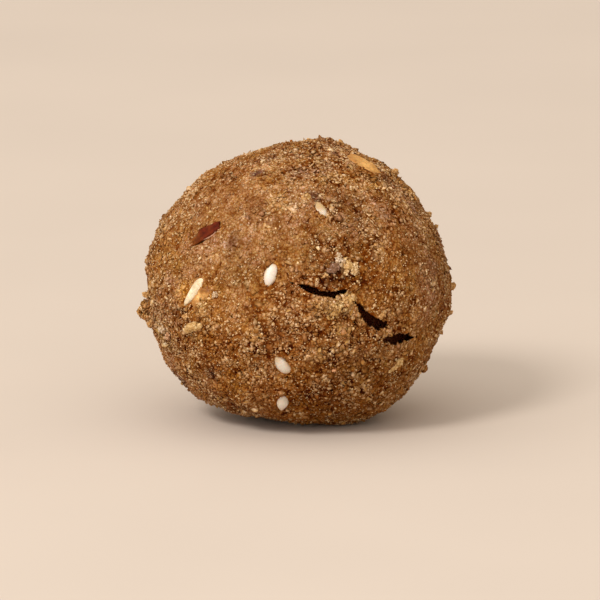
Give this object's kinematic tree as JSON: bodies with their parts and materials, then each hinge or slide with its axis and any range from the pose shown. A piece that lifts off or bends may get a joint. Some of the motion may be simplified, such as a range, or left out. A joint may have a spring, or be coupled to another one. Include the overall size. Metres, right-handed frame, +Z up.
{
  "type": "ajwain ladoo",
  "caption": "Rolled ball sweet of roasted flour, jaggery and ghee with a dry crack across its front, and sesame seeds, bits of nut and crumbs pressed into its grainy surface.",
  "frame": {"origin": "on the floor, straight below the ball's middle, on the small flat spot that it rests on", "axes": "+Z up; -Y is the front, the side with the dark crack; +X is to the right of someone facing the front"},
  "size_m": [0.0402, 0.0394, 0.0367],
  "materials": {
    "dough": "grainy, matt, a little oily",
    "sesame": "smooth, low sheen",
    "nut": "roasted, low sheen",
    "almond_skin": "papery, a little glossy"
  },
  "bodies": {
    "root": {"ladoo": "dough"}
  },
  "joints": []
}
